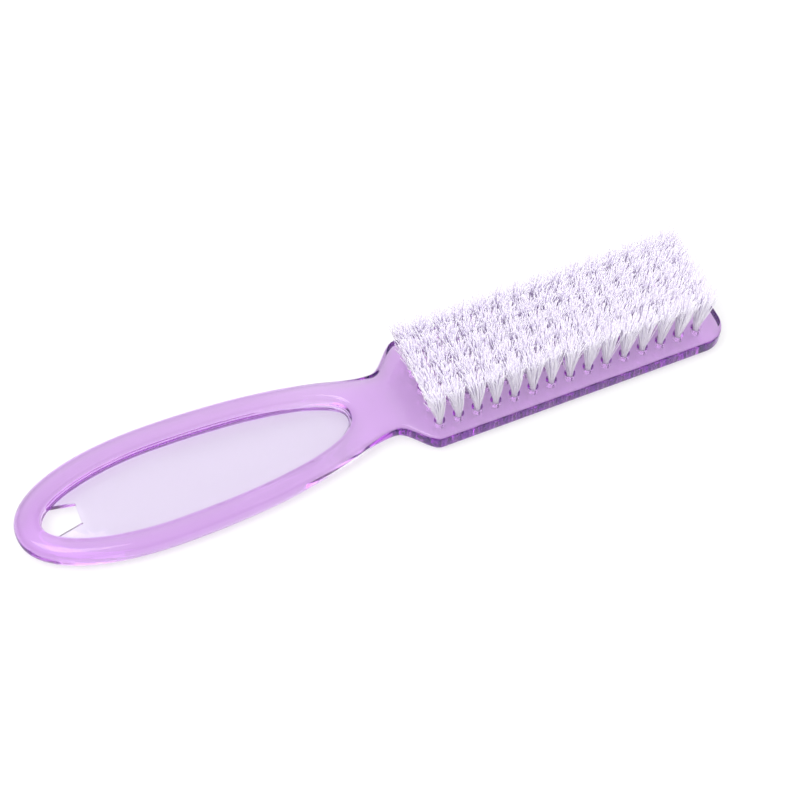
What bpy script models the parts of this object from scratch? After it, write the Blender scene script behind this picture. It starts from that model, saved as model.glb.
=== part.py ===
"""Nail brush lying on its back: one moulded body and 75 nylon tufts set in blind holes.

X runs along the brush, from the hanging end at -X to the bristle head at +X. Y runs across it. Z = 0 is the surface
it lies on, and the bristles point up. The outer tufts of each column are their own objects. The three tufts between
them are one object, because their tops spread until they meet.
"""

import math

import bmesh
import bpy

MM = 0.001

# Overall sizes
TOTAL_LENGTH = 145 * MM
TAIL_X = -TOTAL_LENGTH / 2
HEAD_END_X = TOTAL_LENGTH / 2

# Handle oval, seen from above. A roundness of 2 is an ellipse, and more is squarer.
HANDLE_WIDEST_X = -42 * MM
HANDLE_HALF_WIDTH = 13.3 * MM
HANDLE_TAIL_ROUNDNESS = 2.2
HANDLE_FRONT_REACH = 48.5 * MM

# Neck and head, seen from above
NECK_START_X = -8 * MM
NECK_X = 2.4 * MM
NECK_HALF_WIDTH = 7 * MM
HEAD_START_X = 9.8 * MM
HEAD_HALF_WIDTH = 12.5 * MM
HEAD_CORNER_RADIUS = 5 * MM

# Side view
HANDLE_TOP_Z = 5 * MM
HEAD_TOP_Z = 4.4 * MM
HANDLE_EDGE_RADIUS = 2.4 * MM
HEAD_TOP_EDGE_RADIUS = 0.8 * MM
HEAD_BOTTOM_EDGE_RADIUS = 1.4 * MM
NECK_ARCH_RISE = 0.8 * MM
NECK_ARCH_START_X = -24 * MM
NECK_ARCH_END_X = 12 * MM

# Thin web inside the handle's rim, recessed from both faces
RIM_WIDTH = 4.7 * MM
RIM_WIDTH_AT_TAIL = 5.2 * MM
WEB_THICKNESS = 1.1 * MM
OVAL_FRONT_X = -4.8 * MM
OVAL_FRONT_ROUNDNESS = 2.25
OVAL_TAIL_ROUNDNESS = 2.0
RIM_WALL_LEAN = 0.2 * MM
RIM_SHOULDER_DROP = 1.6 * MM
RIM_CREST_WIDTH = 2.4 * MM
CREST_OVERSHOOT = 0.05 * MM

# Hang hole through the web, bounded at the tail by the rim
HANG_HOLE_FRONT_X = -60.1 * MM
HANG_HOLE_FRONT_HALF_WIDTH = 2.2 * MM
HANG_HOLE_FLARE = 0.256
HANG_HOLE_INTO_RIM = 0.15 * MM

# Tuft holes
COLUMNS = 15
ROWS = 5
COLUMN_PITCH = 4 * MM
ROW_PITCH = 4.2 * MM
FIRST_COLUMN_X = 10.8 * MM
TUFT_HOLE_RADIUS = 1.1 * MM
TUFT_HOLE_DEPTH = 2.4 * MM

# Tufts
GAP = 0.3 * MM
TIP_CORNER_RADIUS = 1.5 * MM
TUFT_TIP_Z = 15 * MM
TIP_SPREAD_X = 1.06
TIP_SPREAD_Y = 1.03

# Shares of a tuft's free height: where it has opened fully, and where the three middle tufts of a column meet
FLARE_HEIGHT = 0.85
JOIN_HEIGHT = 0.75

# Number of flat steps in each curved stretch
TAIL_STEPS = 12
HANDLE_FRONT_STEPS = 8
NECK_STEPS = 7
FLARE_STEPS = 8
HEAD_SIDE_STEPS = 4
CORNER_STEPS = 6
EDGE_STEPS = 5
RECESS_STEPS = 16
CREST_STEPS = 3
HANG_HOLE_STEPS = 8
TUFT_SIDES = 8

CUT_CLEARANCE = 2 * MM
SLOPE_STEP = 0.01 * MM
SHARP_ANGLE = math.radians(35)


def smooth(value):
    """A step from 0 to 1 with level ends."""
    value = min(max(value, 0.0), 1.0)
    return value * value * (3 - 2 * value)


def between(start, end, fraction):
    return start + (end - start) * fraction


def superellipse(angle, length, width, roundness):
    """A point of a quarter oval: at angle 0 on its length axis, at a right angle on its width axis."""
    power = 2 / roundness
    return length * math.cos(angle) ** power, width * abs(math.sin(angle)) ** power


# Body outline


def handle_front_half_width(x):
    reach = (x - HANDLE_WIDEST_X) / HANDLE_FRONT_REACH
    return HANDLE_HALF_WIDTH * math.sqrt(1 - reach * reach)


def neck_half_width(x):
    """A cubic that leaves the oval along its tangent and is level at the narrowest place."""
    start = handle_front_half_width(NECK_START_X)
    slope = (start - handle_front_half_width(NECK_START_X - SLOPE_STEP)) / SLOPE_STEP
    length = NECK_X - NECK_START_X
    part = (x - NECK_START_X) / length
    tangent = part * (1 - part) ** 2 * length * slope
    return between(start, NECK_HALF_WIDTH, smooth(part)) + tangent


def flare_half_width(x):
    return between(NECK_HALF_WIDTH, HEAD_HALF_WIDTH, smooth((x - NECK_X) / (HEAD_START_X - NECK_X)))


def half_outline():
    """The points of the body's outline on its +Y side, from the tail to the end of the head."""
    tail_length = HANDLE_WIDEST_X - TAIL_X
    points = []
    for step in range(TAIL_STEPS):
        angle = math.pi / 2 * step / TAIL_STEPS
        along, across = superellipse(angle, tail_length, HANDLE_HALF_WIDTH, HANDLE_TAIL_ROUNDNESS)
        points.append((HANDLE_WIDEST_X - along, across))
    stretches = (
        (HANDLE_WIDEST_X, NECK_START_X, HANDLE_FRONT_STEPS, handle_front_half_width),
        (NECK_START_X, NECK_X, NECK_STEPS, neck_half_width),
        (NECK_X, HEAD_START_X, FLARE_STEPS, flare_half_width),
        (HEAD_START_X, HEAD_END_X - HEAD_CORNER_RADIUS, HEAD_SIDE_STEPS, flare_half_width),
    )
    for start, end, steps, half_width in stretches:
        for step in range(steps):
            x = between(start, end, step / steps)
            points.append((x, half_width(x)))
    for step in range(CORNER_STEPS + 1):
        angle = math.pi / 2 * step / CORNER_STEPS
        x = HEAD_END_X - HEAD_CORNER_RADIUS * (1 - math.sin(angle))
        points.append((x, HEAD_HALF_WIDTH - HEAD_CORNER_RADIUS * (1 - math.cos(angle))))
    return points


def mirrored(half):
    """The closed outline made from its +Y half, whose first point lies on the X axis."""
    return half + [(x, -y) for x, y in reversed(half[1:])]


def inward_normals(outline):
    normals = []
    for index in range(len(outline)):
        before = outline[index - 1]
        after = outline[(index + 1) % len(outline)]
        along_x = after[0] - before[0]
        along_y = after[1] - before[1]
        length = math.hypot(along_x, along_y)
        normals.append((along_y / length, -along_x / length))
    return normals


# Body side view


def head_share(x):
    """0 on the handle and 1 on the head."""
    return smooth((x - NECK_START_X) / (HEAD_START_X - NECK_START_X))


def top_z(x):
    return between(HANDLE_TOP_Z, HEAD_TOP_Z, head_share(x))


def bottom_z(x):
    part = (x - NECK_ARCH_START_X) / (NECK_ARCH_END_X - NECK_ARCH_START_X)
    part = min(max(part, 0.0), 1.0)
    return NECK_ARCH_RISE * math.sin(math.pi * part) ** 2


def edge_radius(x, head_radius):
    return between(HANDLE_EDGE_RADIUS, head_radius, head_share(x))


# Mesh building


def add_ring(mesh, points):
    return [mesh.verts.new(point) for point in points]


def join_rings(mesh, rings):
    for lower, upper in zip(rings, rings[1:]):
        for index in range(len(lower)):
            after = (index + 1) % len(lower)
            mesh.faces.new((lower[index], lower[after], upper[after], upper[index]))


def loft(mesh, outlines):
    """One closed solid through outlines that each have the same number of points."""
    rings = [add_ring(mesh, points) for points in outlines]
    join_rings(mesh, rings)
    mesh.faces.new(rings[0])
    mesh.faces.new(rings[-1])


def make_object(name, mesh, material=None):
    bmesh.ops.recalc_face_normals(mesh, faces=mesh.faces)
    data = bpy.data.meshes.new(name)
    mesh.to_mesh(data)
    mesh.free()
    data.shade_smooth()
    data.set_sharp_from_angle(angle=SHARP_ANGLE)
    if material:
        data.materials.append(material)
    made = bpy.data.objects.new(name, data)
    bpy.context.scene.collection.objects.link(made)
    return made


def make_helper(name, mesh):
    helper = make_object(name, mesh)
    helper.hide_render = True
    helper.display_type = "WIRE"
    return helper


def add_boolean(target, helper, operation):
    boolean = target.modifiers.new(helper.name, "BOOLEAN")
    boolean.operation = operation
    boolean.object = helper


def make_material(name, colour, roughness, transmission):
    material = bpy.data.materials.new(name)
    material.use_nodes = True
    shader = material.node_tree.nodes["Principled BSDF"]
    shader.inputs["Base Color"].default_value = (*colour, 1)
    shader.inputs["Roughness"].default_value = roughness
    shader.inputs["Metallic"].default_value = 0
    shader.inputs["Transmission Weight"].default_value = transmission
    return material


# Moulded body


def body_rings():
    """The outline at each height of the rounded edge, from the bottom face to the top face."""
    outline = mirrored(half_outline())
    normals = inward_normals(outline)
    rings = []
    faces = ((bottom_z, 1, HEAD_BOTTOM_EDGE_RADIUS), (top_z, -1, HEAD_TOP_EDGE_RADIUS))
    for face_z, inwards, head_radius in faces:
        face_rings = []
        for step in range(EDGE_STEPS + 1):
            angle = math.pi / 2 * step / EDGE_STEPS
            ring = []
            for (x, y), (normal_x, normal_y) in zip(outline, normals):
                radius = edge_radius(x, head_radius)
                inset = radius * (1 - math.sin(angle))
                z = face_z(x) + inwards * radius * (1 - math.cos(angle))
                ring.append((x + normal_x * inset, y + normal_y * inset, z))
            face_rings.append(ring)
        rings += face_rings[::inwards]
    return rings


def close_face(mesh, ring):
    """Closes a long ring with faces that each cross it from its +Y side to its -Y side."""
    count = len(ring)
    mesh.faces.new((ring[0], ring[1], ring[count - 1]))
    for index in range(1, count // 2):
        mesh.faces.new((ring[index], ring[index + 1], ring[count - index - 1], ring[count - index]))


def oval_half_outline(widened):
    """The +Y half of the oval inside the rim, at the web, widened all round."""
    half_width = HANDLE_HALF_WIDTH - RIM_WIDTH + widened
    tail_length = HANDLE_WIDEST_X - TAIL_X - RIM_WIDTH_AT_TAIL + widened
    front_length = OVAL_FRONT_X - HANDLE_WIDEST_X + widened
    points = []
    for step in range(RECESS_STEPS):
        angle = math.pi / 2 * step / RECESS_STEPS
        along, across = superellipse(angle, tail_length, half_width, OVAL_TAIL_ROUNDNESS)
        points.append((HANDLE_WIDEST_X - along, across))
    for step in range(RECESS_STEPS + 1):
        angle = math.pi / 2 * (1 - step / RECESS_STEPS)
        along, across = superellipse(angle, front_length, half_width, OVAL_FRONT_ROUNDNESS)
        points.append((HANDLE_WIDEST_X + along, across))
    return points


def oval_outline(widened):
    half = oval_half_outline(widened)
    return half + [(x, -y) for x, y in reversed(half[1:-1])]


def make_recess_cutter(name, side):
    """Cuts down to the web, and rounds the rim's inner side up to its crest. side is 1 above the web, -1 below."""
    middle_z = HANDLE_TOP_Z / 2
    web_face = WEB_THICKNESS / 2
    shoulder = HANDLE_TOP_Z / 2 - RIM_SHOULDER_DROP
    levels = [(0, web_face), (RIM_WALL_LEAN, shoulder)]
    for step in range(1, CREST_STEPS + 1):
        angle = math.pi / 2 * step / CREST_STEPS
        widened = between(RIM_CREST_WIDTH, RIM_WALL_LEAN, math.cos(angle))
        levels.append((widened, shoulder + (RIM_SHOULDER_DROP + CREST_OVERSHOOT) * math.sin(angle)))
    levels.append((RIM_CREST_WIDTH, HANDLE_TOP_Z / 2 + CUT_CLEARANCE))
    mesh = bmesh.new()
    loft(mesh, [[(x, y, middle_z + side * z) for x, y in oval_outline(widened)] for widened, z in levels])
    return make_helper(name, mesh)


def hang_hole_outline():
    """A narrow front edge, two sides that spread towards the tail, and the rim's own curve between them."""
    tail_length = HANDLE_WIDEST_X - TAIL_X - RIM_WIDTH_AT_TAIL + HANG_HOLE_INTO_RIM
    half_width = HANDLE_HALF_WIDTH - RIM_WIDTH + HANG_HOLE_INTO_RIM
    half = [(HANG_HOLE_FRONT_X, HANG_HOLE_FRONT_HALF_WIDTH)]
    arc = []
    for step in range(RECESS_STEPS * HANG_HOLE_STEPS):
        angle = math.pi / 2 * step / (RECESS_STEPS * HANG_HOLE_STEPS)
        along, across = superellipse(angle, tail_length, half_width, OVAL_TAIL_ROUNDNESS)
        x = HANDLE_WIDEST_X - along
        if across > HANG_HOLE_FRONT_HALF_WIDTH + HANG_HOLE_FLARE * (HANG_HOLE_FRONT_X - x):
            break
        arc.append((x, across))
    stride = max(1, (len(arc) - 1) // HANG_HOLE_STEPS)
    half += reversed(arc[stride::stride])
    return half + [arc[0]] + [(x, -y) for x, y in reversed(half)]


def make_hang_hole_cutter():
    mesh = bmesh.new()
    outline = hang_hole_outline()
    heights = (-CUT_CLEARANCE, HANDLE_TOP_Z + CUT_CLEARANCE)
    loft(mesh, [[(x, y, z) for x, y in outline] for z in heights])
    return make_helper("hang_hole_cutter", mesh)


def tuft_places():
    """The place of each hole, as its column, its row and its centre."""
    for column in range(COLUMNS):
        for row in range(ROWS):
            x = FIRST_COLUMN_X + column * COLUMN_PITCH
            y = (row - (ROWS - 1) / 2) * ROW_PITCH
            yield column, row, x, y


def make_tuft_hole_cutter():
    mesh = bmesh.new()
    for _, _, x, y in tuft_places():
        bottom = chamfered_ring(x, y, y, 0, TUFT_HOLE_RADIUS, HEAD_TOP_Z - TUFT_HOLE_DEPTH)
        top = chamfered_ring(x, y, y, 0, TUFT_HOLE_RADIUS, HEAD_TOP_Z + CUT_CLEARANCE)
        loft(mesh, [bottom, top])
    return make_helper("tuft_hole_cutter", mesh)


def make_body(material):
    mesh = bmesh.new()
    rings = [add_ring(mesh, points) for points in body_rings()]
    join_rings(mesh, rings)
    close_face(mesh, rings[0])
    close_face(mesh, rings[-1])
    body = make_object("moulded_body", mesh, material)
    add_boolean(body, make_recess_cutter("upper_recess_cutter", 1), "DIFFERENCE")
    add_boolean(body, make_recess_cutter("lower_recess_cutter", -1), "DIFFERENCE")
    add_boolean(body, make_hang_hole_cutter(), "DIFFERENCE")
    add_boolean(body, make_tuft_hole_cutter(), "DIFFERENCE")


# Tufts


def chamfered_ring(x, low_y, high_y, half_x, grown, z):
    """A rectangle grown all round by one radius, with the corners of a regular octagon of that radius."""
    corner = grown * math.tan(math.pi / TUFT_SIDES)
    right = ((x + half_x + grown, low_y - corner), (x + half_x + grown, high_y + corner))
    rear = ((x + half_x + corner, high_y + grown), (x - half_x - corner, high_y + grown))
    left = ((x - half_x - grown, high_y + corner), (x - half_x - grown, low_y - corner))
    front = ((x - half_x - corner, low_y - grown), (x + half_x + corner, low_y - grown))
    return [(px, py, z) for px, py in right + rear + left + front]


def tuft_ring(x, low_y, high_y, height):
    """The outline of a bunch at a share of its free height. Its tips lean out from the middle of the head."""
    middle_x = FIRST_COLUMN_X + (COLUMNS - 1) / 2 * COLUMN_PITCH
    spread_x = between(1, TIP_SPREAD_X, height)
    spread_y = between(1, TIP_SPREAD_Y, height)
    opened = smooth(height / FLARE_HEIGHT / 2) * 2 if height < FLARE_HEIGHT else 1
    root = TUFT_HOLE_RADIUS - GAP
    corner_radius = between(root, TIP_CORNER_RADIUS, opened)
    half_x = opened * ((COLUMN_PITCH * spread_x - GAP) / 2 - corner_radius)
    half_y = opened * ((ROW_PITCH * spread_y - GAP) / 2 - corner_radius)
    centre_x = middle_x + (x - middle_x) * spread_x
    z = between(HEAD_TOP_Z, TUFT_TIP_Z, height)
    low_edge = low_y * spread_y - half_y
    high_edge = high_y * spread_y + half_y
    return chamfered_ring(centre_x, low_edge, high_edge, half_x, corner_radius, z)


def add_tuft(mesh, x, y, top_height):
    root_z = HEAD_TOP_Z - TUFT_HOLE_DEPTH + GAP
    root = chamfered_ring(x, y, y, 0, TUFT_HOLE_RADIUS - GAP, root_z)
    heights = (0, FLARE_HEIGHT / 2, FLARE_HEIGHT, top_height)
    loft(mesh, [root] + [tuft_ring(x, y, y, height) for height in heights])


def make_outer_tufts(material):
    names = {0: "front_tuft", ROWS - 1: "rear_tuft"}
    for column, row, x, y in tuft_places():
        if row in names:
            mesh = bmesh.new()
            add_tuft(mesh, x, y, 1)
            make_object(f"{names[row]}_{column + 1:02d}", mesh, material)


def make_middle_tufts(material):
    """Three tufts per column whose tops are one block, because they press together there."""
    inner_y = (ROWS - 3) / 2 * ROW_PITCH
    for column in range(COLUMNS):
        x = FIRST_COLUMN_X + column * COLUMN_PITCH
        top = bmesh.new()
        loft(top, [tuft_ring(x, -inner_y, inner_y, height) for height in (JOIN_HEIGHT, 1)])
        tufts = make_object(f"middle_tufts_{column + 1:02d}", top, material)
        roots = bmesh.new()
        for step in (-1, 0, 1):
            add_tuft(roots, x, step * ROW_PITCH, (JOIN_HEIGHT + 1) / 2)
        add_boolean(tufts, make_helper(f"middle_roots_{column + 1:02d}", roots), "UNION")


def main():
    for old in list(bpy.data.objects):
        bpy.data.objects.remove(old)
    purple = make_material("clear_purple_plastic", (0.55, 0.28, 0.72), 0.08, 0.9)
    nylon = make_material("white_nylon", (0.86, 0.82, 0.92), 0.45, 0)
    make_body(purple)
    make_outer_tufts(nylon)
    make_middle_tufts(nylon)


main()
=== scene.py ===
import math

import bmesh
import bpy
import numpy as np
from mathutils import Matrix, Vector


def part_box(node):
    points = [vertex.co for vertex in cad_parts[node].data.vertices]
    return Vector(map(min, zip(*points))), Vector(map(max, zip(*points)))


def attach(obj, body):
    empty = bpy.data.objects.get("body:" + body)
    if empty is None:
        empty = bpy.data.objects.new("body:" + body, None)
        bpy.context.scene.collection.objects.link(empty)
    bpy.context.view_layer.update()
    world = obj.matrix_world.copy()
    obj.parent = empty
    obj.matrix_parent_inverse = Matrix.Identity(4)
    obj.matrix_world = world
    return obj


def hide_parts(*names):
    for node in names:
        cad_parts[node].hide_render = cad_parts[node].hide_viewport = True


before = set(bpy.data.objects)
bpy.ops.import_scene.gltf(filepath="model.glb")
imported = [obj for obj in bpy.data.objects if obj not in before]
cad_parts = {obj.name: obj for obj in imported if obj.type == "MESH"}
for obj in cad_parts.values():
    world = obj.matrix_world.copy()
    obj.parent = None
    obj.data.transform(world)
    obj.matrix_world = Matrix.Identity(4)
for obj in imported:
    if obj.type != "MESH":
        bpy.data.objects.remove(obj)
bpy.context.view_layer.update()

MM = 0.001

# The CAD solids give the outer sizes.
body_low, body_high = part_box("moulded_body")
tuft_low, tuft_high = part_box("front_tuft_01")

TAIL_X = body_low[0]
HEAD_END_X = body_high[0]
HANDLE_TOP_Z = body_high[2]
HANDLE_HALF_WIDTH = body_high[1]
TIP_Z = tuft_high[2]
ROOT_Z = tuft_low[2]

# Handle oval, seen from above. A roundness of 2 is an ellipse, and more is squarer.
HANDLE_WIDEST_X = -42 * MM
HANDLE_TAIL_ROUNDNESS = 2.2
HANDLE_FRONT_REACH = 48.5 * MM

# Neck and head, seen from above
NECK_START_X = -8 * MM
NECK_X = 2.4 * MM
NECK_HALF_WIDTH = 7 * MM
HEAD_START_X = 9.8 * MM
HEAD_HALF_WIDTH = 12.5 * MM
HEAD_CORNER_RADIUS = 5 * MM

# Side view
HEAD_TOP_Z = 4.4 * MM
HANDLE_EDGE_RADIUS = 2.4 * MM
HEAD_TOP_EDGE_RADIUS = 0.8 * MM
HEAD_BOTTOM_EDGE_RADIUS = 1.4 * MM
NECK_ARCH_RISE = 0.8 * MM
NECK_ARCH_START_X = -24 * MM
NECK_ARCH_END_X = 12 * MM
FLAT_FACE_BORDER = 0.25 * MM

# Thin web inside the handle's rim, recessed from both faces
RIM_WIDTH = 4.7 * MM
RIM_WIDTH_AT_TAIL = 5.2 * MM
WEB_THICKNESS = 1.1 * MM
WEB_FILLET = 0.35 * MM
OVAL_FRONT_X = -4.8 * MM
OVAL_FRONT_ROUNDNESS = 2.25
OVAL_TAIL_ROUNDNESS = 2.0
RIM_WALL_LEAN = 0.2 * MM
RIM_SHOULDER_DROP = 1.6 * MM
RIM_CREST_WIDTH = 2.4 * MM
CREST_OVERSHOOT = 0.05 * MM

# Hang hole through the web, bounded at the tail by the rim. The flare is the slope of its two sides.
HANG_HOLE_FRONT_X = -60.1 * MM
HANG_HOLE_FRONT_HALF_WIDTH = 2.2 * MM
HANG_HOLE_FLARE = 0.256
HANG_HOLE_INTO_RIM = 0.15 * MM
HANG_HOLE_EDGE = 0.15 * MM

# Edges that bend more than this are drawn sharp.
SHARP_ANGLE = math.radians(32)

# Tufts and their holes. A spread is how far a tuft's tip is from the middle of the bristle field, divided by
# how far its root is.
COLUMNS = 15
ROWS = 5
COLUMN_PITCH = 4 * MM
ROW_PITCH = 4.2 * MM
FIRST_COLUMN_X = 10.8 * MM
TUFT_HOLE_RADIUS = 1.1 * MM
TUFT_HOLE_DEPTH = 2.4 * MM
TIP_SPREAD_X = 1.045
TIP_SPREAD_Y = 0.92

# Filaments. Each bunch fans out from a narrow round root to a nearly square tip that meets its neighbours.
# A squareness of 0 is a round tip and 1 a square one. A higher flare power keeps the fan narrow for longer.
FILAMENTS = 150
FILAMENT_RADIUS = 0.075 * MM
FILAMENT_SIDES = 5
FILAMENT_RINGS = 7
ROOT_BUNCH_RADIUS = 0.6 * MM
TIP_HALF_LENGTH = 2.1 * MM
TIP_HALF_WIDTH = 2.05 * MM
TIP_SQUARENESS = 0.9
FLARE_POWER = 1.4
TIP_SCATTER = 0.38 * MM
TIP_HEIGHT_SCATTER = 0.35 * MM
BEND_SCATTER = 0.2 * MM
TIP_ROUND = 0.06 * MM
TIP_ROUND_SHARE = 0.55
GOLDEN_ANGLE = math.pi * (3 - math.sqrt(5))

# Steel anchors, one across the bottom of each tuft hole
ANCHOR_LENGTH = 2.3 * MM
ANCHOR_HEIGHT = 1.8 * MM
ANCHOR_THICKNESS = 0.32 * MM
ANCHOR_BEVEL = 0.06 * MM
ANCHOR_BEVEL_STEPS = 2

# Materials. Noise scales are in cycles for each metre, and ranges are the lowest and highest value.
PLASTIC_SURFACE_COLOUR = (0.92, 0.955, 0.985, 1)
PLASTIC_IOR = 1.49
PLASTIC_ROUGHNESS = (0.02, 0.09)
PLASTIC_SCUFF_SCALE = 900
PLASTIC_SCUFF_DETAIL = 4
PLASTIC_RIPPLE_SCALE = 160
PLASTIC_RIPPLE_DETAIL = 2
PLASTIC_RIPPLE_STRENGTH = 0.25
PLASTIC_RIPPLE_HEIGHT = 0.5 * MM
PLASTIC_TINT = (0.743, 0.071, 0.871, 1)
PLASTIC_TINT_DENSITY = 134
NYLON_COLOUR = (0.965, 0.94, 1, 1)
NYLON_IOR = 1.53
NYLON_ROUGHNESS = (0.28, 0.5)
NYLON_GRAIN_SCALE = 2500
NYLON_GRAIN_DETAIL = 2
STEEL_COLOUR = (0.6, 0.6, 0.62, 1)
STEEL_ROUGHNESS = (0.2, 0.45)
STEEL_GRAIN_SCALE = 3000
STEEL_GRAIN_DETAIL = 3
WHITE = (1, 1, 1, 1)

# Floor. Its own glow fades from the brush outwards, between two distances in metres.
FLOOR_HALF_SIZE = 3
FLOOR_DROP = 0.2 * MM
FLOOR_COLOUR = (0.45, 0.45, 0.45, 1)
FLOOR_ROUGHNESS = 0.9
FLOOR_GLOW_REACH = (0.15, 0.6)
FLOOR_GLOW = (0.48, 0.4)

# Light. The sky brightens between two heights, where 0 is the horizon and 1 is overhead. The lights' places
# are in metres, and their power is in watts.
SKY_HEIGHTS = (0.3, 0.75)
SKY_STRENGTH = (0.12, 1.6)
SOFT_BOX_PLACE = (-0.3, -0.05, 0.65)
SOFT_BOX_SIZE = (0.4, 0.4)
SOFT_BOX_POWER = 1.9
FRONT_FILL_PLACE = (0.3, -0.5, 0.4)
FRONT_FILL_SIZE = (0.4, 0.3)
FRONT_FILL_POWER = 0.3
CLEAR_BOUNCES = 32
GLOSSY_BOUNCES = 12

# Camera. The azimuth is measured from straight in front of the brush, and the lens and sensor are in mm.
CAMERA_AZIMUTH = math.radians(-22.9)
CAMERA_ELEVATION = math.radians(57.8)
CAMERA_DISTANCE = 0.379
CAMERA_TARGET = (6.56 * MM, 1.34 * MM, 0)
CAMERA_SENSOR = 36
CAMERA_LENS = 86.04

# Number of flat steps in each curved stretch
TAIL_STEPS = 48
HANDLE_FRONT_STEPS = 40
NECK_STEPS = 22
FLARE_STEPS = 22
HEAD_SIDE_STEPS = 6
CORNER_STEPS = 14
EDGE_STEPS = 9
RECESS_STEPS = 56
WEB_FILLET_STEPS = 3
CREST_STEPS = 8
HANG_HOLE_STEPS = 10
TUFT_HOLE_SIDES = 24

# How far a cutter reaches past the face that it cuts
CUT_CLEARANCE = 2 * MM

# Step for the slope where the neck leaves the oval
SLOPE_STEP = 0.01 * MM

SEED = 7


def smooth(value):
    """A step from 0 to 1 with level ends."""
    value = min(max(value, 0.0), 1.0)
    return value * value * (3 - 2 * value)


def between(start, end, fraction):
    """The value that far on the way from start to end."""
    return start + (end - start) * fraction


def superellipse(angle, length, width, roundness):
    """A point in one quarter of a superellipse, as its distances along and across."""
    power = 2 / roundness
    along = length * abs(math.cos(angle)) ** power
    across = width * abs(math.sin(angle)) ** power
    return along, across


# Body outline


def handle_front_half_width(x):
    """Half the oval's width on the side of its widest place that faces the neck."""
    reach = (x - HANDLE_WIDEST_X) / HANDLE_FRONT_REACH
    return HANDLE_HALF_WIDTH * math.sqrt(1 - reach * reach)


def neck_half_width(x):
    """A cubic that leaves the oval along its tangent and is level at the narrowest place."""
    start = handle_front_half_width(NECK_START_X)
    slope = (start - handle_front_half_width(NECK_START_X - SLOPE_STEP)) / SLOPE_STEP
    length = NECK_X - NECK_START_X
    part = (x - NECK_START_X) / length
    tangent = part * (1 - part) ** 2 * length * slope
    return between(start, NECK_HALF_WIDTH, smooth(part)) + tangent


def flare_half_width(x):
    """From the narrowest place out to the head, and the head's own half width after that."""
    part = (x - NECK_X) / (HEAD_START_X - NECK_X)
    return between(NECK_HALF_WIDTH, HEAD_HALF_WIDTH, smooth(part))


def half_outline():
    """The points of the body's outline on its +Y side, from the tail to the end of the head."""
    tail_length = HANDLE_WIDEST_X - TAIL_X
    points = []
    for step in range(TAIL_STEPS):
        angle = math.pi / 2 * step / TAIL_STEPS
        along, across = superellipse(angle, tail_length, HANDLE_HALF_WIDTH, HANDLE_TAIL_ROUNDNESS)
        points.append((HANDLE_WIDEST_X - along, across))
    stretches = (
        (HANDLE_WIDEST_X, NECK_START_X, HANDLE_FRONT_STEPS, handle_front_half_width),
        (NECK_START_X, NECK_X, NECK_STEPS, neck_half_width),
        (NECK_X, HEAD_START_X, FLARE_STEPS, flare_half_width),
        (HEAD_START_X, HEAD_END_X - HEAD_CORNER_RADIUS, HEAD_SIDE_STEPS, flare_half_width),
    )
    for start, end, steps, half_width in stretches:
        for step in range(steps):
            x = between(start, end, step / steps)
            points.append((x, half_width(x)))
    for step in range(CORNER_STEPS + 1):
        angle = math.pi / 2 * step / CORNER_STEPS
        x = HEAD_END_X - HEAD_CORNER_RADIUS * (1 - math.sin(angle))
        points.append((x, HEAD_HALF_WIDTH - HEAD_CORNER_RADIUS * (1 - math.cos(angle))))
    return points


def mirrored(half):
    """The whole outline, from a half that starts at its tail on y = 0."""
    return half + [(x, -y) for x, y in reversed(half[1:])]


def inward_normals(outline):
    """A unit vector at each point that faces into the outline."""
    normals = []
    for index in range(len(outline)):
        before = outline[index - 1]
        after = outline[(index + 1) % len(outline)]
        along_x = after[0] - before[0]
        along_y = after[1] - before[1]
        length = math.hypot(along_x, along_y)
        normals.append((along_y / length, -along_x / length))
    return normals


def head_share(x):
    """0 on the handle and 1 on the head."""
    return smooth((x - NECK_START_X) / (HEAD_START_X - NECK_START_X))


def top_z(x):
    return between(HANDLE_TOP_Z, HEAD_TOP_Z, head_share(x))


def bottom_z(x):
    """The underside: flat, with a slight arch under the neck."""
    part = (x - NECK_ARCH_START_X) / (NECK_ARCH_END_X - NECK_ARCH_START_X)
    part = min(max(part, 0.0), 1.0)
    return NECK_ARCH_RISE * math.sin(math.pi * part) ** 2


def edge_radius(x, head_radius):
    return between(HANDLE_EDGE_RADIUS, head_radius, head_share(x))


# Mesh building


def add_ring(mesh, points):
    return [mesh.verts.new(point) for point in points]


def join_rings(mesh, rings):
    for lower, upper in zip(rings, rings[1:]):
        for index in range(len(lower)):
            after = (index + 1) % len(lower)
            mesh.faces.new((lower[index], lower[after], upper[after], upper[index]))


def loft(mesh, outlines):
    rings = [add_ring(mesh, points) for points in outlines]
    join_rings(mesh, rings)
    mesh.faces.new(rings[0])
    mesh.faces.new(rings[-1])


def make_object(name, mesh):
    bmesh.ops.recalc_face_normals(mesh, faces=mesh.faces)
    data = bpy.data.meshes.new(name)
    mesh.to_mesh(data)
    mesh.free()
    made = bpy.data.objects.new(name, data)
    bpy.context.scene.collection.objects.link(made)
    return made


def body_rings():
    """Rings from the underside's flat border, round both rounded edges, to the top's flat border."""
    outline = mirrored(half_outline())
    normals = inward_normals(outline)
    faces = (
        (bottom_z, 1, HEAD_BOTTOM_EDGE_RADIUS),
        (top_z, -1, HEAD_TOP_EDGE_RADIUS),
    )
    rings = []
    for face_z, inwards, head_radius in faces:
        face_rings = []
        for step in range(-1, EDGE_STEPS + 1):
            angle = math.pi / 2 * max(step, 0) / EDGE_STEPS
            border = FLAT_FACE_BORDER if step < 0 else 0
            ring = []
            for (x, y), (normal_x, normal_y) in zip(outline, normals):
                radius = edge_radius(x, head_radius)
                inset = radius * (1 - math.sin(angle)) + border
                z = face_z(x) + inwards * radius * (1 - math.cos(angle))
                ring.append((x + normal_x * inset, y + normal_y * inset, z))
            face_rings.append(ring)
        rings += face_rings[::inwards]
    return rings


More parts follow.
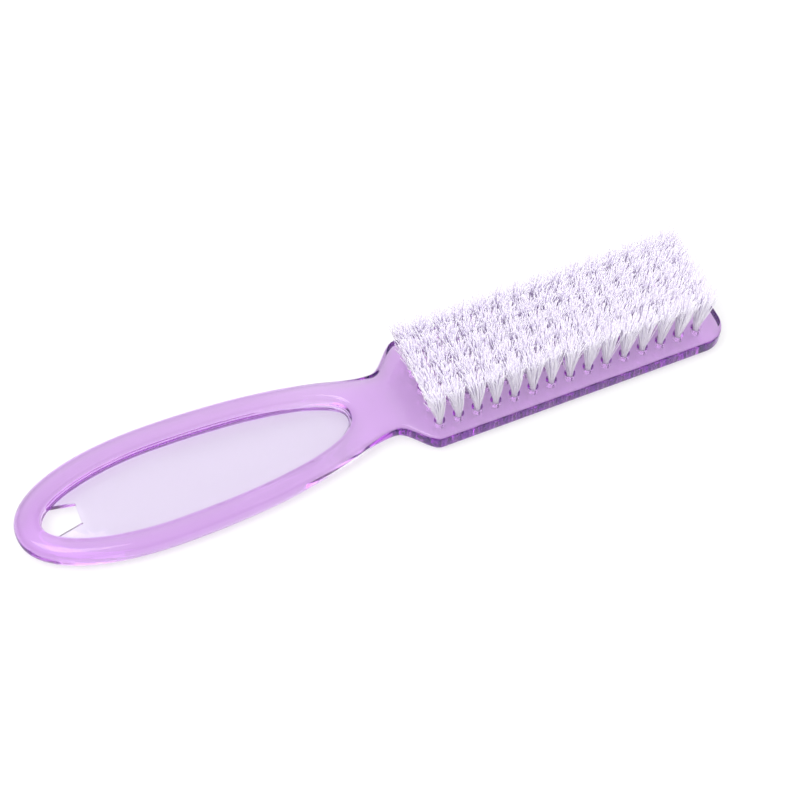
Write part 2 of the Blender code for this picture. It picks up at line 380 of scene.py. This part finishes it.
def close_face(mesh, ring):
    """Closes a long ring with faces that each cross it from its +Y side to its -Y side."""
    count = len(ring)
    mesh.faces.new((ring[0], ring[1], ring[count - 1]))
    for index in range(1, count // 2):
        mesh.faces.new((ring[index], ring[index + 1], ring[count - index - 1], ring[count - index]))


def oval_outline(widened):
    """The recess inside the rim, seen from above, moved outwards by widened."""
    half_width = HANDLE_HALF_WIDTH - RIM_WIDTH + widened
    tail_length = HANDLE_WIDEST_X - TAIL_X - RIM_WIDTH_AT_TAIL + widened
    front_length = OVAL_FRONT_X - HANDLE_WIDEST_X + widened
    half = []
    for step in range(RECESS_STEPS):
        angle = math.pi / 2 * step / RECESS_STEPS
        along, across = superellipse(angle, tail_length, half_width, OVAL_TAIL_ROUNDNESS)
        half.append((HANDLE_WIDEST_X - along, across))
    for step in range(RECESS_STEPS + 1):
        angle = math.pi / 2 * (1 - step / RECESS_STEPS)
        along, across = superellipse(angle, front_length, half_width, OVAL_FRONT_ROUNDNESS)
        half.append((HANDLE_WIDEST_X + along, across))
    return half + [(x, -y) for x, y in reversed(half[1:-1])]


def make_recess_cutter(name, side):
    """Cuts down to the web, and rounds the rim's inner side up to its crest.

    side is 1 above the web and -1 below it. Each level is how far the oval is widened, and its height over
    the middle of the web.
    """
    middle_z = HANDLE_TOP_Z / 2
    web_face = WEB_THICKNESS / 2
    shoulder = middle_z - RIM_SHOULDER_DROP
    levels = []
    for step in range(WEB_FILLET_STEPS + 1):
        angle = math.pi / 2 * step / WEB_FILLET_STEPS
        widened = -WEB_FILLET * (1 - math.sin(angle))
        levels.append((widened, web_face + WEB_FILLET * (1 - math.cos(angle))))
    levels.append((RIM_WALL_LEAN, shoulder))
    for step in range(1, CREST_STEPS + 1):
        angle = math.pi / 2 * step / CREST_STEPS
        widened = between(RIM_CREST_WIDTH, RIM_WALL_LEAN, math.cos(angle))
        rise = (RIM_SHOULDER_DROP + CREST_OVERSHOOT) * math.sin(angle)
        levels.append((widened, shoulder + rise))
    levels.append((RIM_CREST_WIDTH, middle_z + CUT_CLEARANCE))
    outlines = []
    for widened, z in levels:
        outlines.append([(x, y, middle_z + side * z) for x, y in oval_outline(widened)])
    mesh = bmesh.new()
    loft(mesh, outlines)
    return make_object(name, mesh)


def hang_hole_outline(eased):
    """A narrow front edge, two sides that spread towards the tail, and the rim's own curve between them.

    eased is how far the two straight sides and the front edge open up at the web's faces.
    """
    tail_length = HANDLE_WIDEST_X - TAIL_X - RIM_WIDTH_AT_TAIL + HANG_HOLE_INTO_RIM
    half_width = HANDLE_HALF_WIDTH - RIM_WIDTH + HANG_HOLE_INTO_RIM
    arc = []
    for step in range(RECESS_STEPS * HANG_HOLE_STEPS):
        angle = math.pi / 2 * step / (RECESS_STEPS * HANG_HOLE_STEPS)
        along, across = superellipse(angle, tail_length, half_width, OVAL_TAIL_ROUNDNESS)
        x = HANDLE_WIDEST_X - along
        side_y = HANG_HOLE_FRONT_HALF_WIDTH + HANG_HOLE_FLARE * (HANG_HOLE_FRONT_X - x)
        if across > side_y:
            break
        arc.append((x, across))
    stride = max(1, (len(arc) - 1) // HANG_HOLE_STEPS)
    side = list(reversed(arc[stride::stride]))
    side[0] = (side[0][0], side[0][1] + eased)
    half = [(HANG_HOLE_FRONT_X + eased, HANG_HOLE_FRONT_HALF_WIDTH + eased)] + side
    return half + [arc[0]] + [(x, -y) for x, y in reversed(half)]


def make_hang_hole_cutter():
    """Cuts through the web, with a small chamfer at each of its faces."""
    middle_z = HANDLE_TOP_Z / 2
    face = WEB_THICKNESS / 2
    edge = HANG_HOLE_EDGE
    profile = (
        (-HANDLE_TOP_Z, edge),
        (-face, edge),
        (edge - face, 0),
        (face - edge, 0),
        (face, edge),
        (HANDLE_TOP_Z, edge),
    )
    outlines = []
    for z, eased in profile:
        outlines.append([(x, y, middle_z + z) for x, y in hang_hole_outline(eased)])
    mesh = bmesh.new()
    loft(mesh, outlines)
    return make_object("hang_hole_cutter", mesh)


def tuft_places():
    """The column, row and centre of each tuft."""
    for column in range(COLUMNS):
        for row in range(ROWS):
            x = FIRST_COLUMN_X + column * COLUMN_PITCH
            y = (row - (ROWS - 1) / 2) * ROW_PITCH
            yield column, row, x, y


def circle(x, y, radius, sides, z):
    angles = [2 * math.pi * side / sides for side in range(sides)]
    return [(x + radius * math.cos(angle), y + radius * math.sin(angle), z) for angle in angles]


def make_tuft_hole_cutter():
    """One blind hole for each tuft."""
    heights = (HEAD_TOP_Z - TUFT_HOLE_DEPTH, HEAD_TOP_Z + CUT_CLEARANCE)
    mesh = bmesh.new()
    for _, _, x, y in tuft_places():
        loft(mesh, [circle(x, y, TUFT_HOLE_RADIUS, TUFT_HOLE_SIDES, z) for z in heights])
    return make_object("tuft_hole_cutter", mesh)


def make_body():
    """The one moulded piece: handle ring, web, neck and head."""
    mesh = bmesh.new()
    rings = [add_ring(mesh, points) for points in body_rings()]
    join_rings(mesh, rings)
    close_face(mesh, rings[0])
    close_face(mesh, rings[-1])
    body = make_object("clear_body", mesh)
    cutters = (
        make_recess_cutter("upper_recess_cutter", 1),
        make_recess_cutter("lower_recess_cutter", -1),
        make_hang_hole_cutter(),
        make_tuft_hole_cutter(),
    )
    for cutter in cutters:
        boolean = body.modifiers.new(cutter.name, "BOOLEAN")
        boolean.operation = "DIFFERENCE"
        boolean.object = cutter
        apply_modifiers(body)
        bpy.data.objects.remove(cutter)
    body.data.shade_smooth()
    body.data.set_sharp_from_angle(angle=SHARP_ANGLE)
    return body


def apply_modifiers(piece):
    """Makes the mesh what its modifiers make of it."""
    graph = bpy.context.evaluated_depsgraph_get()
    evaluated = bpy.data.meshes.new_from_object(piece.evaluated_get(graph))
    piece.modifiers.clear()
    piece.data = evaluated


# Filaments


def bunch_points(x, y, draw):
    """The centre line of each filament of one bunch, as an array of filament, ring and coordinate."""
    index = np.arange(FILAMENTS)
    radius = np.sqrt((index + 0.5) / FILAMENTS)
    turn = index * GOLDEN_ANGLE + draw.uniform(0, 2 * math.pi)
    disc = np.stack([radius * np.cos(turn), radius * np.sin(turn)], axis=1)
    middle_x = FIRST_COLUMN_X + (COLUMNS - 1) / 2 * COLUMN_PITCH
    root = np.array([x, y]) + disc * ROOT_BUNCH_RADIUS
    tip_centre = np.array([middle_x + (x - middle_x) * TIP_SPREAD_X, y * TIP_SPREAD_Y])
    stretch = np.linalg.norm(disc, axis=1) / np.abs(disc).max(axis=1)
    square = disc * (1 + TIP_SQUARENESS * (stretch - 1))[:, None]
    tip = tip_centre + square * (TIP_HALF_LENGTH, TIP_HALF_WIDTH)
    tip = tip + draw.normal(0, TIP_SCATTER, (FILAMENTS, 2))
    tip_z = TIP_Z - TIP_HEIGHT_SCATTER * np.abs(draw.normal(0, 1, FILAMENTS))
    bend = draw.normal(0, BEND_SCATTER, (FILAMENTS, 2))
    free = (TIP_Z - HEAD_TOP_Z) / (TIP_Z - ROOT_Z)
    spaces = FILAMENT_RINGS - 2
    heights = [0.0] + [1 - free * (1 - step / spaces) for step in range(spaces + 1)]
    points = np.zeros((FILAMENTS, FILAMENT_RINGS, 3))
    for ring, height in enumerate(heights):
        share = max(0.0, (height - (1 - free)) / free)
        sway = math.sin(math.pi * share)
        points[:, ring, :2] = root + (tip - root) * share ** FLARE_POWER + bend * sway
        points[:, ring, 2] = ROOT_Z + (tip_z - ROOT_Z) * height
    return points


def filament_mesh(name, bunches):
    """Round filaments along the centre lines, each closed, with a rounded free end."""
    lines = np.concatenate(bunches)
    count = len(lines)
    end = lines[:, -1:, :] - np.array([0, 0, TIP_ROUND])
    lines = np.concatenate([lines[:, :-1, :], end, lines[:, -1:, :]], axis=1)
    rings = lines.shape[1]
    radii = np.full(rings, FILAMENT_RADIUS)
    radii[-1] = FILAMENT_RADIUS * TIP_ROUND_SHARE
    turn = 2 * math.pi * np.arange(FILAMENT_SIDES) / FILAMENT_SIDES
    circle_points = np.stack([np.cos(turn), np.sin(turn), np.zeros(FILAMENT_SIDES)], axis=1)
    points = lines[:, :, None, :] + radii[None, :, None, None] * circle_points[None, None, :, :]
    start = np.arange(count)[:, None, None] * rings * FILAMENT_SIDES
    ring = np.arange(rings - 1)[None, :, None] * FILAMENT_SIDES
    side = np.arange(FILAMENT_SIDES)[None, None, :]
    after = (side + 1) % FILAMENT_SIDES
    lower = start + ring
    upper = lower + FILAMENT_SIDES
    corners = [lower + side, lower + after, upper + after, upper + side]
    quads = np.stack(corners, axis=-1).reshape(-1, 4)
    first = np.arange(count)[:, None] * rings * FILAMENT_SIDES
    last = first + (rings - 1) * FILAMENT_SIDES
    around = np.arange(FILAMENT_SIDES)
    bottom = first + around[::-1]
    top = last + around
    faces = quads.tolist() + bottom.tolist() + top.tolist()
    data = bpy.data.meshes.new(name)
    data.from_pydata(points.reshape(-1, 3).tolist(), [], faces)
    data.shade_smooth()
    made = bpy.data.objects.new(name, data)
    bpy.context.scene.collection.objects.link(made)
    return made


def make_bristles():
    """One piece of filaments for each CAD tuft node, which it replaces."""
    draw = np.random.default_rng(SEED)
    groups = {}
    for column, row, x, y in tuft_places():
        kind = {0: "front_tuft", ROWS - 1: "rear_tuft"}.get(row, "middle_tufts")
        groups.setdefault(f"{kind}_{column + 1:02d}", []).append(bunch_points(x, y, draw))
    pieces = []
    for node, bunches in groups.items():
        piece = filament_mesh(node + "_filaments", bunches)
        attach(piece, "root")
        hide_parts(node)
        pieces.append(piece)
    return pieces


# Anchors


def make_anchors():
    """The flat steel anchors that hold the folded tufts, as one piece."""
    mesh = bmesh.new()
    bottom = HEAD_TOP_Z - TUFT_HOLE_DEPTH
    for _, _, x, y in tuft_places():
        made = bmesh.ops.create_cube(mesh, size=1)["verts"]
        bmesh.ops.scale(mesh, vec=(ANCHOR_THICKNESS, ANCHOR_LENGTH, ANCHOR_HEIGHT), verts=made)
        bmesh.ops.translate(mesh, vec=(x, y, bottom + ANCHOR_HEIGHT / 2), verts=made)
    edges = mesh.edges[:]
    bmesh.ops.bevel(mesh, geom=edges, offset=ANCHOR_BEVEL, segments=ANCHOR_BEVEL_STEPS, affect="EDGES")
    anchors = make_object("tuft_anchors", mesh)
    anchors.data.shade_smooth()
    return anchors


# Materials


def new_material(name):
    """A node material with its nodes, links and main shader."""
    material = bpy.data.materials.new(name)
    material.use_nodes = True
    nodes = material.node_tree.nodes
    shader = nodes["Principled BSDF"]
    return material, nodes, material.node_tree.links, shader


def noise_node(nodes, links, coordinates, scale, detail):
    noise = nodes.new("ShaderNodeTexNoise")
    noise.inputs["Scale"].default_value = scale
    noise.inputs["Detail"].default_value = detail
    links.new(coordinates, noise.inputs["Vector"])
    return noise


def range_node(nodes, links, source, limits, results):
    """Turns the values between two limits into those between two results."""
    spread = nodes.new("ShaderNodeMapRange")
    spread.inputs["From Min"].default_value = limits[0]
    spread.inputs["From Max"].default_value = limits[1]
    spread.inputs["To Min"].default_value = results[0]
    spread.inputs["To Max"].default_value = results[1]
    links.new(source, spread.inputs["Value"])
    return spread.outputs["Result"]


def object_coordinates(nodes):
    return nodes.new("ShaderNodeTexCoord").outputs["Object"]


def vary_roughness(nodes, links, shader, scale, detail, roughness):
    """Gives the surface a fine noise of roughness between the two values."""
    noise = noise_node(nodes, links, object_coordinates(nodes), scale, detail)
    varied = range_node(nodes, links, noise.outputs["Fac"], (0, 1), roughness)
    links.new(varied, shader.inputs["Roughness"])


def purple_plastic():
    """Clear plastic tinted by its depth, with faint moulding ripples and fine handling scuffs."""
    material, nodes, links, shader = new_material("clear_purple_plastic")
    shader.inputs["Base Color"].default_value = PLASTIC_SURFACE_COLOUR
    shader.inputs["Transmission Weight"].default_value = 1
    shader.inputs["IOR"].default_value = PLASTIC_IOR
    vary_roughness(nodes, links, shader, PLASTIC_SCUFF_SCALE, PLASTIC_SCUFF_DETAIL, PLASTIC_ROUGHNESS)
    place = object_coordinates(nodes)
    ripples = noise_node(nodes, links, place, PLASTIC_RIPPLE_SCALE, PLASTIC_RIPPLE_DETAIL)
    bump = nodes.new("ShaderNodeBump")
    bump.inputs["Strength"].default_value = PLASTIC_RIPPLE_STRENGTH
    bump.inputs["Distance"].default_value = PLASTIC_RIPPLE_HEIGHT
    links.new(ripples.outputs["Fac"], bump.inputs["Height"])
    links.new(bump.outputs["Normal"], shader.inputs["Normal"])
    tint = nodes.new("ShaderNodeVolumeAbsorption")
    tint.inputs["Color"].default_value = PLASTIC_TINT
    tint.inputs["Density"].default_value = PLASTIC_TINT_DENSITY
    links.new(tint.outputs["Volume"], nodes["Material Output"].inputs["Volume"])
    return material


def nylon():
    """White nylon filament with a satin surface."""
    material, nodes, links, shader = new_material("white_nylon")
    shader.inputs["Base Color"].default_value = NYLON_COLOUR
    shader.inputs["IOR"].default_value = NYLON_IOR
    vary_roughness(nodes, links, shader, NYLON_GRAIN_SCALE, NYLON_GRAIN_DETAIL, NYLON_ROUGHNESS)
    return material


def steel():
    """Bright drawn steel, slightly uneven in its polish."""
    material, nodes, links, shader = new_material("steel_anchor")
    shader.inputs["Base Color"].default_value = STEEL_COLOUR
    shader.inputs["Metallic"].default_value = 1
    vary_roughness(nodes, links, shader, STEEL_GRAIN_SCALE, STEEL_GRAIN_DETAIL, STEEL_ROUGHNESS)
    return material


def floor_white():
    """A white that glows a little, most of all near the brush."""
    material, nodes, links, shader = new_material("floor_white")
    shader.inputs["Base Color"].default_value = FLOOR_COLOUR
    shader.inputs["Roughness"].default_value = FLOOR_ROUGHNESS
    shader.inputs["Emission Color"].default_value = WHITE
    reach = nodes.new("ShaderNodeVectorMath")
    reach.operation = "LENGTH"
    links.new(object_coordinates(nodes), reach.inputs[0])
    glow = range_node(nodes, links, reach.outputs["Value"], FLOOR_GLOW_REACH, FLOOR_GLOW)
    links.new(glow, shader.inputs["Emission Strength"])
    return material


# Stage


def make_floor():
    mesh = bmesh.new()
    bmesh.ops.create_grid(mesh, x_segments=1, y_segments=1, size=FLOOR_HALF_SIZE)
    floor = make_object("floor", mesh)
    floor.location.z = -FLOOR_DROP
    floor.data.materials.append(floor_white())


def add_area_light(name, place, size, power):
    """A rectangular light that faces the middle of the brush."""
    lamp = bpy.data.lights.new(name, "AREA")
    lamp.shape = "RECTANGLE"
    lamp.size = size[0]
    lamp.size_y = size[1]
    lamp.energy = power
    holder = bpy.data.objects.new(name, lamp)
    holder.location = place
    holder.rotation_euler = (-Vector(place)).to_track_quat("-Z", "Y").to_euler()
    bpy.context.scene.collection.objects.link(holder)


def make_sky():
    """A sky that is dim near the horizon, so that the plastic's edges show. Seen directly, it is white."""
    world = bpy.data.worlds.new("studio")
    world.use_nodes = True
    bpy.context.scene.world = world
    nodes = world.node_tree.nodes
    links = world.node_tree.links
    background = nodes["Background"]
    background.inputs["Color"].default_value = WHITE
    height = nodes.new("ShaderNodeSeparateXYZ")
    direction = nodes.new("ShaderNodeTexCoord").outputs["Generated"]
    links.new(direction, height.inputs[0])
    fade = range_node(nodes, links, height.outputs["Z"], SKY_HEIGHTS, SKY_STRENGTH)
    strength = nodes.new("ShaderNodeMath")
    strength.operation = "MAXIMUM"
    links.new(fade, strength.inputs[0])
    seen_directly = nodes.new("ShaderNodeLightPath").outputs["Is Camera Ray"]
    links.new(seen_directly, strength.inputs[1])
    links.new(strength.outputs["Value"], background.inputs["Strength"])


def make_lights():
    make_sky()
    add_area_light("soft_box", SOFT_BOX_PLACE, SOFT_BOX_SIZE, SOFT_BOX_POWER)
    add_area_light("front_fill", FRONT_FILL_PLACE, FRONT_FILL_SIZE, FRONT_FILL_POWER)


def make_camera():
    """Above the front left of the brush, looking down at it."""
    across = math.sin(CAMERA_AZIMUTH) * math.cos(CAMERA_ELEVATION)
    back = -math.cos(CAMERA_AZIMUTH) * math.cos(CAMERA_ELEVATION)
    away = Vector((across, back, math.sin(CAMERA_ELEVATION)))
    camera = bpy.data.cameras.new("camera")
    camera.sensor_width = CAMERA_SENSOR
    camera.lens = CAMERA_LENS
    holder = bpy.data.objects.new("camera", camera)
    holder.location = Vector(CAMERA_TARGET) + away * CAMERA_DISTANCE
    holder.rotation_euler = (-away).to_track_quat("-Z", "Y").to_euler()
    bpy.context.scene.collection.objects.link(holder)
    bpy.context.scene.camera = holder


def set_light_paths():
    """Light crosses the clear body and passes between the filaments many times before it leaves."""
    paths = bpy.context.scene.cycles
    paths.max_bounces = CLEAR_BOUNCES
    paths.transmission_bounces = CLEAR_BOUNCES
    paths.diffuse_bounces = CLEAR_BOUNCES
    paths.glossy_bounces = GLOSSY_BOUNCES


def main():
    body = make_body()
    body.data.materials.clear()
    body.data.materials.append(purple_plastic())
    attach(body, "root")
    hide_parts("moulded_body")
    filament = nylon()
    for piece in make_bristles():
        piece.data.materials.append(filament)
    anchors = make_anchors()
    anchors.data.materials.append(steel())
    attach(anchors, "root")
    make_floor()
    make_lights()
    make_camera()
    set_light_paths()
    bpy.context.scene.view_settings.view_transform = "Standard"


main()
